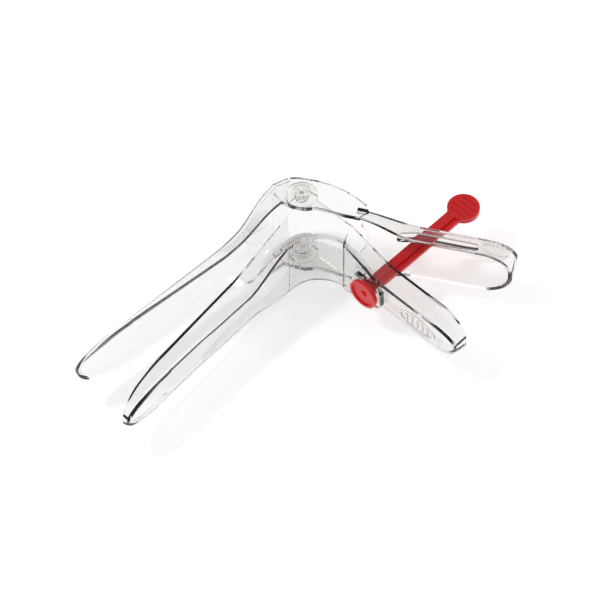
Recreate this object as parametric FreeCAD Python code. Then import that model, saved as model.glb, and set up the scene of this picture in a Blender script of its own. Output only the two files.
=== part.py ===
import FreeCAD, Part
import math
import os

# Single-use bivalve speculum in clear plastic, lying on its side, with a red ratchet bar.
# Two trough-shaped valves turn on two snap studs, one in each pair of cheeks. Pinching the
# handles together spreads the blades, and the red bar through both handles holds them.
#
# Frame in millimetres: the hinge axis is Z through the origin and z = 0 is the resting face.
# The lower valve stands still with its blade along -X and its handle towards -Y. The upper
# valve is drawn closed on the +Y side and then turned open by REST_OPENING.

V = FreeCAD.Vector

# Overall
CHEEK_HALF = 20.0
WALL = 1.7
CHEEK_THICK = 2.2
CHEEK_GAP = 0.4
REST_OPENING = 11.5

# Blades, measured from the hinge axis
UPPER_LENGTH = 113.7
LOWER_LENGTH = 118.5
BLADE_HALF = 13.1
BLADE_FLOOR_HALF = 8.4
BLADE_CORNER = 4.4
UPPER_RIM_Y = -0.4
LOWER_RIM_Y = -2.5
TIP_ROUND = 27.0
TIP_CURL = 0.5
TIP_DROP = 1.6

# Hinge studs and the ears around them
STUD_RADIUS = 2.5
STUD_CLEARANCE = 0.05
STUD_HEAD_RADIUS = 3.7
STUD_HEAD_THICK = 1.0
STUD_SNAP = 0.3
STUD_PRESS = 0.02
STUD_SEAT = 0.1
STUD_BORE_RADIUS = 1.1
EAR_RADIUS = 6.4

# Handles, each along its own line from the hinge axis
UPPER_GRIP_ANGLE = -54.5
LOWER_GRIP_ANGLE = -96.5
UPPER_GRIP_END = 86.3
LOWER_GRIP_END = 86.5
GRIP_HALF = 11.7
GRIP_FLOOR_HALF = 7.3
GRIP_CORNER = 3.0
GRIP_ROUND = 13.0

# Mouth opening through the upper valve
MOUTH_RADIUS = 15.5
MOUTH_STATION = 11.5

# Oval thumb rest on the outside of each handle
OVAL_LENGTH = 19.0
OVAL_WIDTH = 8.6
OVAL_RIDGE = 0.9
OVAL_HEIGHT = 0.35
OVAL_RIBS = 5

# Ratchet bar
BAR_ANGLE = -5.6
BAR_STATION = 41.5
BAR_WIDTH = 6.6
BAR_THICK = 1.5
SPINE_WIDTH = 2.2
SPINE_HEIGHT = 1.0
BAR_CLEARANCE = 0.3
COLLAR_HEIGHT = 2.4
COLLAR_LENGTH = 15.0
COLLAR_WIDTH = 11.0
HEAD_RADIUS = 6.5
HEAD_THICK = 2.0
HEAD_OFFSET = -7.2
HEAD_DISH = 0.6
HEAD_RIM = 1.1
HEAD_PEG_RADIUS = 1.1
HEAD_PEG_LENGTH = 1.6
PADDLE_REACH = 56.5
PADDLE_RADIUS = 6.5
PADDLE_THICK = 2.4
PADDLE_STEPS = 4
PADDLE_STEP_DEPTH = 0.4
TOOTH_PITCH = 2.0
TOOTH_DEPTH = 0.7
TOOTH_COUNT = 12
FIRST_TOOTH = 20.0
SLOT_NEAR = 38.0
SLOT_FAR = 70.5

# How far cutting tools reach past what they cut
SLACK = 3.0


def unit(angle):
    return V(math.cos(math.radians(angle)), math.sin(math.radians(angle)), 0)


def on_line(angle, along, offset):
    """Point on a line from the hinge axis, moved sideways, anticlockwise positive."""
    return unit(angle) * along + unit(angle + 90) * offset


def trough_section(rim, floor, half_rim, half_floor, radius):
    """Closed wire across a trough, in the plane through rim, floor and Z."""
    depth = (floor - rim).Length
    inward = (floor - rim) * (1 / depth)
    wall = V(-depth, half_rim - half_floor, 0)
    wall.normalize()
    across = V(0, -1, 0)
    turn = (math.pi - wall.getAngle(across)) / 2
    reach = radius * math.tan(turn)
    middle = wall + across
    middle.normalize()
    corner = V(depth, half_floor, 0)
    a = corner + wall * reach
    b = corner + middle * (radius / math.cos(turn) - radius)
    c = corner + across * reach

    def at(p, side):
        return rim + inward * p.x + V(0, 0, side * p.y + CHEEK_HALF)

    top = V(0, half_rim, 0)
    return Part.Wire([
        Part.makeLine(at(top, -1), at(top, 1)),
        Part.makeLine(at(top, 1), at(a, 1)),
        Part.Arc(at(a, 1), at(b, 1), at(c, 1)).toShape(),
        Part.makeLine(at(c, 1), at(c, -1)),
        Part.Arc(at(c, -1), at(b, -1), at(a, -1)).toShape(),
        Part.makeLine(at(a, -1), at(top, -1)),
    ])


def station(rim, floor, half_rim, half_floor, corner):
    """One cross-section of a trough: rim and floor points, half widths and floor corner radius."""
    return (V(*rim), V(*floor), half_rim, half_floor, corner)


def outer(stations, ruled=False):
    return Part.makeLoft([trough_section(*s) for s in stations], True, ruled)


def inner(stations, wall, ruled=False):
    """The hollow that belongs to outer(): moved in by the wall, and open past the rim."""
    wires = []
    for rim, floor, half_rim, half_floor, corner in stations:
        depth = (floor - rim).Length
        inward = (floor - rim) * (1 / depth)
        slope = (half_rim - half_floor) / depth
        shift = wall * math.sqrt(1 + slope * slope)
        half_top = half_rim - shift + slope * SLACK
        half_low = half_rim - shift - slope * (depth - wall)
        wires.append(trough_section(rim - inward * SLACK, floor - inward * wall,
                                    half_top, half_low, max(corner - wall, 0.4)))
    return Part.makeLoft(wires, True, ruled)


def ease(value):
    """0 to 1 with a soft start and a soft end."""
    value = min(max(value, 0.0), 1.0)
    return value * value * (3 - 2 * value)


def run(section, start, end, count):
    """Evenly spaced stations from section(s), with start and end both used."""
    return [section(start + (end - start) * i / count) for i in range(count + 1)]


def rounded_end(section, length, reach, curl, drop, wall=0.0):
    """Stations over the rounded end of a trough whose section(s) runs on. wall moves the end back."""
    stations = []
    base = length - reach
    reach = reach - wall
    for share in (0.0, 0.35, 0.62, 0.82, 0.94, 0.985):
        narrow = math.sqrt(1 - share * share)
        soft = share ** 4
        rim, floor, half_rim, half_floor, corner = section(base + reach * share)
        inward = floor - rim
        inward.normalize()
        half_rim = wall + (half_rim - wall) * narrow
        half_floor = min(wall + (half_floor - wall) * narrow, half_rim - 0.2)
        corner = max(corner * (1 - 0.7 * share), wall + 0.5)
        stations.append((rim + inward * (drop * soft), floor - inward * (curl * soft),
                         half_rim, max(half_floor, corner * 0.9), corner))
    return stations


def cylinder(radius, height, base, axis=None):
    return Part.makeCylinder(radius, height, base, axis or V(0, 0, 1))


def plate(points, low, high):
    """Flat plate from an outline in the XY plane."""
    corners = [V(x, y, low) for x, y in points]
    face = Part.Face(Part.makePolygon(corners + [corners[0]]))
    return face.extrude(V(0, 0, high - low))


def block(angle, along, offset, z, length, width, height):
    """Box centred on a point of a line from the hinge axis, turned with the line."""
    shape = Part.makeBox(length, width, height, V(-length / 2, -width / 2, -height / 2))
    shape.rotate(V(0, 0, 0), V(0, 0, 1), angle)
    shape.translate(on_line(angle, along, offset) + V(0, 0, z))
    return shape


def handle_oval(angle, along, offset, outward, length=OVAL_LENGTH):
    """Raised oval with cross ribs, standing on the outside of a handle floor."""
    def ellipse(a, b):
        shape = Part.makeCylinder(1.0, 1.0)
        m = FreeCAD.Matrix()
        m.scale(a, b, 1.0)
        return shape.transformGeometry(m)

    ring = ellipse(length / 2, OVAL_WIDTH / 2).cut(
        ellipse(length / 2 - OVAL_RIDGE, OVAL_WIDTH / 2 - OVAL_RIDGE))
    ribs = []
    for i in range(OVAL_RIBS):
        x = (i - (OVAL_RIBS - 1) / 2) * length / (OVAL_RIBS + 2)
        ribs.append(Part.makeBox(OVAL_RIDGE, OVAL_WIDTH * 0.5, 1.0, V(x - OVAL_RIDGE / 2, -OVAL_WIDTH * 0.25, 0)))
    shape = ring.fuse(ribs)
    m = FreeCAD.Matrix()
    m.scale(1.0, 1.0, OVAL_HEIGHT + 0.4)
    shape = shape.transformGeometry(m)
    shape.rotate(V(0, 0, 0), V(1, 0, 0), -90 * outward)
    shape.rotate(V(0, 0, 0), V(0, 0, 1), angle)
    shape.translate(on_line(angle, along, offset - outward * 0.4) + V(0, 0, CHEEK_HALF))
    return shape


def parallel(edge, direction):
    if edge.Curve.TypeId != "Part::GeomLine":
        return False
    tangent = edge.Vertexes[-1].Point - edge.Vertexes[0].Point
    tangent.normalize()
    return abs(tangent.dot(direction)) > 0.999


def trough(groups, wall):
    """Thin shell from groups of (stations, ruled), each with its hollow cut out."""
    solids = [outer(stations, ruled) for stations, hollow, ruled in groups]
    hollows = [inner(hollow, wall, ruled) for stations, hollow, ruled in groups]
    return solids[0].fuse(solids[1:]), hollows


def lower_valve():
    """Blade, cheeks with ears, and handle in one shell. Its cheeks lie inside those of the upper valve."""
    half = CHEEK_HALF - CHEEK_THICK - CHEEK_GAP
    bend = V(-21.5, -25.4, 0)
    bend_radius = 15.0

    def blade(s):
        depth = 7.7 - 2.6 * ease((s - 40.0) / 52.0)
        flare = ease((46.0 - s) / 25.0)
        return (V(-s, LOWER_RIM_Y, 0), V(-s, LOWER_RIM_Y - depth, 0),
                BLADE_HALF + (half - BLADE_HALF) * flare,
                BLADE_FLOOR_HALF + (half - 1.0 - BLADE_FLOOR_HALF) * flare, BLADE_CORNER)

    def elbow(turn):
        away = unit(90.0 - turn)
        reach = 60.0
        if away.y > 0.01:
            reach = (-0.6 - 1.9 * ease(1 - turn / 40.0) - bend.y) / away.y
        if away.x > 0.01:
            reach = min(reach, (0.4 + 1.4 * ease((90.0 - turn) / 60.0) - bend.x) / away.x)
        return bend + away * reach, bend + away * bend_radius, half, half - 1.0, BLADE_CORNER

    def grip(s):
        narrow = ease((s - 25.0) / 22.0)
        return (on_line(LOWER_GRIP_ANGLE, s, 2.75), on_line(LOWER_GRIP_ANGLE, s, -4.6),
                half + (GRIP_HALF - half) * narrow,
                half - 1.0 + (GRIP_FLOOR_HALF - half + 1.0) * narrow,
                BLADE_CORNER + (GRIP_CORNER - BLADE_CORNER) * narrow)

    flare = run(blade, 46.0, -bend.x, 9)
    straight = run(blade, LOWER_LENGTH - TIP_ROUND, 46.0, 3)
    tip = rounded_end(blade, LOWER_LENGTH, TIP_ROUND, TIP_CURL, TIP_DROP)
    tip_hollow = rounded_end(blade, LOWER_LENGTH, TIP_ROUND, TIP_CURL, TIP_DROP, WALL)
    turn = run(elbow, 0.0, 90.0, 8)
    neck = [turn[-1]] + run(grip, 27.5, 47.5, 9)
    shaft = run(grip, 47.5, LOWER_GRIP_END - GRIP_ROUND, 1)
    end = rounded_end(grip, LOWER_GRIP_END, GRIP_ROUND, 0.8, 0.0)
    end_hollow = rounded_end(grip, LOWER_GRIP_END, GRIP_ROUND, 0.8, 0.0, WALL)
    body, hollows = trough([
        (tip, tip_hollow, False), (straight, straight, True), (flare, flare, False),
        (turn, turn, True), (neck, neck, False), (shaft, shaft, True), (end, end_hollow, False),
    ], WALL)
    for side in (-1, 1):
        face = CHEEK_HALF + side * half
        low = min(face, face - side * CHEEK_THICK)
        body = body.fuse(cylinder(EAR_RADIUS, CHEEK_THICK, V(0, 0, low)))
        hollows.append(cylinder(STUD_RADIUS - STUD_PRESS, CHEEK_THICK + 2, V(0, 0, low - 1)))
    collar = block(LOWER_GRIP_ANGLE, BAR_STATION, -4.6 - COLLAR_HEIGHT / 2 + 0.4, CHEEK_HALF,
                   COLLAR_LENGTH, COLLAR_HEIGHT + 0.8, COLLAR_WIDTH)
    collar = collar.makeFillet(2.4, [e for e in collar.Edges if parallel(e, unit(LOWER_GRIP_ANGLE + 90))])
    body = body.cut(hollows)
    body = body.fuse([collar, handle_oval(LOWER_GRIP_ANGLE, 67.0, -4.6, -1)])
    body = body.cut(bar_slot(-4.6))
    return body


def bar_slot(x):
    """Cross-shaped hole for the bar with its two spines."""
    flat = bar_block(x, 16.0, BAR_WIDTH + 2 * BAR_CLEARANCE, 0, BAR_THICK + 2 * BAR_CLEARANCE)
    spine = bar_block(x, 16.0, SPINE_WIDTH + 2 * BAR_CLEARANCE, 0,
                      BAR_THICK + 2 * SPINE_HEIGHT + 2 * BAR_CLEARANCE)
    return flat.fuse(spine)


def upper_valve():
    """Blade, hood, outer cheeks and handle in one shell, drawn with the blade along -X."""
    half = CHEEK_HALF

    def blade(s):
        rise = 2.0 * ease((34.0 - s) / 24.0)
        depth = 7.4 - 3.5 * ease((s - 32.0) / 66.0) + 5.6 * ease((30.0 - s) / 26.0)
        flare = ease((42.0 - s) / 34.0)
        return (V(-s, UPPER_RIM_Y + rise, 0), V(-s, UPPER_RIM_Y + depth, 0),
                BLADE_HALF + (half - BLADE_HALF) * flare,
                BLADE_FLOOR_HALF + (half - 2.0 - BLADE_FLOOR_HALF) * flare,
                BLADE_CORNER + 0.8 * flare)

    def grip(s):
        narrow = ease((s - 24.0) / 24.0)
        floor = -0.5 + 4.9 * ease((s - 24.0) / 24.0)
        return (on_line(UPPER_GRIP_ANGLE, s, -6.8), on_line(UPPER_GRIP_ANGLE, s, floor),
                half - 0.1 + (GRIP_HALF - half + 0.1) * narrow,
                half - 1.5 + (GRIP_FLOOR_HALF - half + 1.5) * narrow,
                BLADE_CORNER + (GRIP_CORNER - BLADE_CORNER) * narrow)

    tip = rounded_end(blade, UPPER_LENGTH, TIP_ROUND, TIP_CURL, TIP_DROP)
    tip_hollow = rounded_end(blade, UPPER_LENGTH, TIP_ROUND, TIP_CURL, TIP_DROP, WALL)
    straight = run(blade, UPPER_LENGTH - TIP_ROUND, 42.0, 2)
    flare = run(blade, 42.0, 8.0, 10)
    hood = [flare[-1],
            station((-4.5, 3.0, 0), (-4.2, 13.2, 0), half, half - 2.0, BLADE_CORNER + 0.8),
            station((0.0, 4.0, 0), (1.6, 11.6, 0), half, half - 2.0, BLADE_CORNER + 0.4)]
    neck = run(grip, 23.0, 48.0, 11)
    shaft = run(grip, 48.0, UPPER_GRIP_END - GRIP_ROUND, 2)
    end = rounded_end(grip, UPPER_GRIP_END, GRIP_ROUND, 0.8, 0.0)
    end_hollow = rounded_end(grip, UPPER_GRIP_END, GRIP_ROUND, 0.8, 0.0, WALL)
    body, hollows = trough([
        (tip, tip_hollow, False), (straight, straight, True), (flare, flare, False),
        (hood, hood, True), (neck, neck, False), (shaft, shaft, True), (end, end_hollow, False),
    ], WALL)
    body = body.cut(hollows)
    outline = [(-9.0, 1.7), (-7.4, -2.5), (-4.6, -6.6), (-0.9, -9.2), (1.4, -12.6), (5.0, -19.0),
               (8.6, -24.2), (13.4, -24.6), (14.9, -21.5), (14.5, -16.5), (13.4, -10.5), (11.2, -4.6),
               (7.8, 1.2), (4.0, 6.2), (1.2, 8.4), (-4.0, 7.4), (-8.6, 6.6)]
    for side in (-1, 1):
        face = CHEEK_HALF + side * half
        low = min(face, face - side * CHEEK_THICK)
        body = body.fuse(plate(outline, low, low + CHEEK_THICK))
    mouth_axis = unit(UPPER_GRIP_ANGLE + 90)
    base = on_line(UPPER_GRIP_ANGLE, MOUTH_STATION, -3.0) + V(0, 0, CHEEK_HALF)
    cuts = [cylinder(MOUTH_RADIUS, 30.0, base, mouth_axis)]
    for side in (-1, 1):
        face = CHEEK_HALF + side * half
        deep = STUD_HEAD_THICK + STUD_SEAT
        cuts.append(cylinder(STUD_RADIUS + STUD_CLEARANCE, 2 * CHEEK_THICK + 2, V(0, 0, face - CHEEK_THICK - 1)))
        cuts.append(cylinder(STUD_HEAD_RADIUS + STUD_CLEARANCE, deep + 1,
                             V(0, 0, face - deep if side > 0 else face - 1)))
    middle = (SLOT_NEAR + SLOT_FAR) / 2
    height = BAR_THICK + 2 * SPINE_HEIGHT + 2 * BAR_CLEARANCE
    slot = block(UPPER_GRIP_ANGLE, middle, 3.0, CHEEK_HALF, SLOT_FAR - SLOT_NEAR, 8.0, height)
    cuts.append(slot.makeFillet(height / 2 - 0.05, [e for e in slot.Edges if parallel(e, mouth_axis)]))
    body = body.fuse(handle_oval(UPPER_GRIP_ANGLE, 77.6, 4.4, 1, OVAL_LENGTH - 7.0))
    body = body.cut(cuts)
    body.rotate(V(0, 0, 0), V(0, 0, 1), -REST_OPENING)
    return body


def hinge_stud(side):
    """Snap stud pressed into an ear of the lower valve. side is +1 for the top one."""
    face = CHEEK_HALF + side * CHEEK_HALF
    inward = V(0, 0, -side)
    base = V(0, 0, face)
    length = 2 * CHEEK_THICK + CHEEK_GAP + 0.9
    shape = cylinder(STUD_HEAD_RADIUS, STUD_HEAD_THICK, base, inward)
    shape = shape.fuse(cylinder(STUD_RADIUS, length, base, inward))
    bead = Part.makeCone(STUD_RADIUS + STUD_SNAP, STUD_RADIUS - 0.3, 0.8, base + inward * (length - 0.85), inward)
    ring = cylinder(STUD_RADIUS + 0.25, 0.25, base, inward).cut(cylinder(STUD_RADIUS - 0.1, 0.25, base, inward))
    bore = cylinder(STUD_BORE_RADIUS, length, base + inward * 2.2, inward)
    return shape.fuse(bead).cut([ring, bore])


def locking_bar():
    """Flat bar with a spine on each broad face, ratchet teeth under it, and a stepped paddle."""
    start = HEAD_OFFSET - HEAD_THICK + HEAD_PEG_LENGTH
    end = PADDLE_REACH + HEAD_OFFSET
    middle = (start + end) / 2
    flat = bar_block(middle, end - start, BAR_WIDTH, 0, BAR_THICK)
    tall = BAR_THICK + 2 * SPINE_HEIGHT
    spine = bar_block(middle - 3.0, end - start - 6.0, SPINE_WIDTH, 0, tall)
    paddle = cylinder(PADDLE_RADIUS, PADDLE_THICK, bar_point(end) + V(0, 0, -PADDLE_THICK / 2))
    shape = flat.fuse([spine, paddle])
    cuts = []
    for i in range(PADDLE_STEPS):
        x = end + (i - (PADDLE_STEPS - 1) / 2) * 2.4
        for side in (-1, 1):
            z = side * PADDLE_THICK / 2
            cuts.append(bar_block(x, 0.9, 2 * PADDLE_RADIUS - 2.6 - abs(x - end) * 0.9, z, 2 * PADDLE_STEP_DEPTH))
    for i in range(TOOTH_COUNT):
        x = FIRST_TOOTH + i * TOOTH_PITCH
        low = -tall / 2
        outline = [bar_point(x) + V(0, 0, low), bar_point(x) + V(0, 0, low + TOOTH_DEPTH),
                   bar_point(x + TOOTH_PITCH * 0.8) + V(0, 0, low)]
        face = Part.Face(Part.makePolygon(outline + [outline[0]]))
        across = unit(BAR_ANGLE + 90) * SPINE_WIDTH
        notch = face.extrude(across * 1.2)
        notch.translate(across * -0.6)
        cuts.append(notch)
    return shape.cut(cuts)


def bar_point(x):
    """Point on the centre line of the bar, x measured from the hinge line of the lower handle."""
    return unit(LOWER_GRIP_ANGLE) * BAR_STATION + unit(BAR_ANGLE) * x + V(0, 0, CHEEK_HALF)


def bar_block(x, length, width, z, height):
    shape = Part.makeBox(length, width, height, V(-length / 2, -width / 2, z - height / 2))
    shape.rotate(V(0, 0, 0), V(0, 0, 1), BAR_ANGLE)
    shape.translate(bar_point(x))
    return shape


def bar_head():
    """Round dished disc on the end of the bar, resting on the collar of the lower handle."""
    axis = unit(BAR_ANGLE)
    base = bar_point(HEAD_OFFSET - HEAD_THICK)
    shape = cylinder(HEAD_RADIUS, HEAD_THICK, base, axis)
    shape = shape.makeFillet(0.5, [shape.Edges[0]])
    dish = cylinder(HEAD_RADIUS - HEAD_RIM, HEAD_DISH + 1.0, base - axis, axis)
    button = cylinder(1.3, HEAD_DISH + 0.15, base, axis)
    return shape.cut(dish).fuse(button)


if __name__ == "__main__":
    os.makedirs("parts", exist_ok=True)
    nodes = {
        "lower_valve": lower_valve(),
        "upper_valve": upper_valve(),
        "hinge_stud_top": hinge_stud(1),
        "hinge_stud_bottom": hinge_stud(-1),
        "locking_bar": locking_bar(),
        "bar_head": bar_head(),
    }
    for name, shape in nodes.items():
        print(name, shape.isValid(), len(shape.Solids), round(shape.Volume), shape.BoundBox)
        shape.exportStep("parts/" + name + ".step")
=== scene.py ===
import math

import bpy
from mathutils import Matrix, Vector

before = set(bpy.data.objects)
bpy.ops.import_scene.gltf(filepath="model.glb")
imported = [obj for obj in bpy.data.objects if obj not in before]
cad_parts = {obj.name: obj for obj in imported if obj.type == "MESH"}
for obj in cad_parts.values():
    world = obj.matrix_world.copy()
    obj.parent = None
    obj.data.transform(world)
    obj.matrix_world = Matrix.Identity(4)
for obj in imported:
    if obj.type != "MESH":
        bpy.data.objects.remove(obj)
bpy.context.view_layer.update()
scene = bpy.context.scene
scene.view_settings.view_transform = "Standard"

# Clear plastic
# Both valves and the studs are moulded in clear polystyrene, which bends light strongly and turns grey,
# with a trace of violet, where one looks along a wall.
clear = bpy.data.materials.new("clear_plastic")
clear.use_nodes = True
nodes = clear.node_tree.nodes
links = clear.node_tree.links
plastic = nodes["Principled BSDF"]
plastic.inputs["Base Color"].default_value = (0.985, 0.985, 0.975, 1)
plastic.inputs["Roughness"].default_value = 0.03
plastic.inputs["IOR"].default_value = 1.5
plastic.inputs["Transmission Weight"].default_value = 1.0
place = nodes.new("ShaderNodeTexCoord")
waves = nodes.new("ShaderNodeTexNoise")
waves.inputs["Scale"].default_value = 90.0
waves.inputs["Detail"].default_value = 1.0
links.new(place.outputs["Object"], waves.inputs["Vector"])
ripple = nodes.new("ShaderNodeBump")
ripple.inputs["Strength"].default_value = 0.12
ripple.inputs["Distance"].default_value = 0.0006
links.new(waves.outputs["Fac"], ripple.inputs["Height"])
links.new(ripple.outputs["Normal"], plastic.inputs["Normal"])
depth = nodes.new("ShaderNodeVolumeAbsorption")
depth.inputs["Color"].default_value = (0.83, 0.82, 0.82, 1)
depth.inputs["Density"].default_value = 150.0
links.new(depth.outputs["Volume"], nodes["Material Output"].inputs["Volume"])

for name in ("lower_valve", "upper_valve", "hinge_stud_top", "hinge_stud_bottom"):
    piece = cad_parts[name]
    piece.data.materials.clear()
    piece.data.materials.append(clear)

# Red plastic
# The bar and its head are moulded in the same red, glossy and nearly opaque, with a little light
# scattered under the surface.
red = bpy.data.materials.new("red_plastic")
red.use_nodes = True
nodes = red.node_tree.nodes
links = red.node_tree.links
plastic = nodes["Principled BSDF"]
plastic.inputs["Base Color"].default_value = (0.80, 0.010, 0.014, 1)
plastic.inputs["Roughness"].default_value = 0.32
plastic.inputs["IOR"].default_value = 1.5
plastic.inputs["Subsurface Weight"].default_value = 0.15
plastic.inputs["Subsurface Radius"].default_value = (0.004, 0.001, 0.001)
plastic.inputs["Subsurface Scale"].default_value = 0.3

for name in ("locking_bar", "bar_head"):
    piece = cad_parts[name]
    piece.data.materials.clear()
    piece.data.materials.append(red)

# Floor
# White card that glows a little, so that it shows plain white and keeps only a faint shadow.
FLOOR_SIZE = 6.0
FLOOR_BELOW = 0.0003
bpy.ops.mesh.primitive_plane_add(size=FLOOR_SIZE, location=(0, 0, -FLOOR_BELOW))
floor = bpy.context.object
floor.name = "floor"
card = bpy.data.materials.new("white_card")
card.use_nodes = True
surface = card.node_tree.nodes["Principled BSDF"]
surface.inputs["Base Color"].default_value = (0.9, 0.9, 0.9, 1)
surface.inputs["Roughness"].default_value = 1.0
surface.inputs["Specular IOR Level"].default_value = 0.0
surface.inputs["Emission Color"].default_value = (1, 1, 1, 1)
surface.inputs["Emission Strength"].default_value = 0.54
floor.data.materials.append(card)

# Light
# A sky that is white above and a little darker and violet at the horizon, which the plastic's edges
# pick up, and two small soft lamps.
world = bpy.data.worlds.new("studio")
scene.world = world
world.use_nodes = True
nodes = world.node_tree.nodes
links = world.node_tree.links
sky = nodes["Background"]
view = nodes.new("ShaderNodeTexCoord")
parts = nodes.new("ShaderNodeSeparateXYZ")
links.new(view.outputs["Generated"], parts.inputs["Vector"])
shade = nodes.new("ShaderNodeValToRGB")
shade.color_ramp.elements[0].position = 0.0
shade.color_ramp.elements[0].color = (0.72, 0.68, 0.76, 1)
shade.color_ramp.elements[1].position = 0.55
shade.color_ramp.elements[1].color = (1, 1, 1, 1)
links.new(parts.outputs["Z"], shade.inputs["Fac"])
links.new(shade.outputs["Color"], sky.inputs["Color"])
sky.inputs["Strength"].default_value = 0.46


def lamp(name, position, target, size, power):
    data = bpy.data.lights.new(name, "AREA")
    data.shape = "RECTANGLE"
    data.size = size[0]
    data.size_y = size[1]
    data.energy = power
    obj = bpy.data.objects.new(name, data)
    scene.collection.objects.link(obj)
    obj.location = position
    obj.rotation_euler = (Vector(target) - Vector(position)).to_track_quat("-Z", "Y").to_euler()
    return obj


MIDDLE = (-0.02, -0.03, 0)
lamp("key", (-0.35, 0.45, 0.9), MIDDLE, (0.16, 0.10), 2.0)
lamp("side", (0.7, -0.5, 0.6), MIDDLE, (0.10, 0.16), 1.0)

# Camera
# Nearly parallel view from well above and to the left. The lens and its shift put the top of the
# hinge on HINGE_PIXEL at the photograph's scale.
AZIMUTH = math.radians(-52.5)
ELEVATION = math.radians(52.5)
DISTANCE = 3.0
PIXELS_PER_METRE = 2560.0
HINGE_PIXEL = (301.7, 191.6)
IMAGE = 600.0
SENSOR = 36.0
HINGE_TOP = 0.040
target = Vector((-0.015, -0.025, 0.020))
level = math.cos(ELEVATION)
back = Vector((math.sin(AZIMUTH) * level, -math.cos(AZIMUTH) * level, math.sin(ELEVATION)))
right = Vector((math.cos(AZIMUTH), math.sin(AZIMUTH), 0))
up = back.cross(right)
camera_data = bpy.data.cameras.new("camera")
camera = bpy.data.objects.new("camera", camera_data)
scene.collection.objects.link(camera)
camera.location = target + back * DISTANCE
camera.rotation_euler = (-back).to_track_quat("-Z", "Y").to_euler()
camera_data.sensor_width = SENSOR
camera_data.lens = PIXELS_PER_METRE * DISTANCE * SENSOR / IMAGE
hinge = Vector((0, 0, HINGE_TOP)) - target
closer = DISTANCE / (DISTANCE - hinge.dot(back))
across = HINGE_PIXEL[0] - PIXELS_PER_METRE * hinge.dot(right) * closer
down = HINGE_PIXEL[1] + PIXELS_PER_METRE * hinge.dot(up) * closer
camera_data.shift_x = -(across - IMAGE / 2) / IMAGE
camera_data.shift_y = (down - IMAGE / 2) / IMAGE
camera_data.clip_end = 20.0
scene.camera = camera
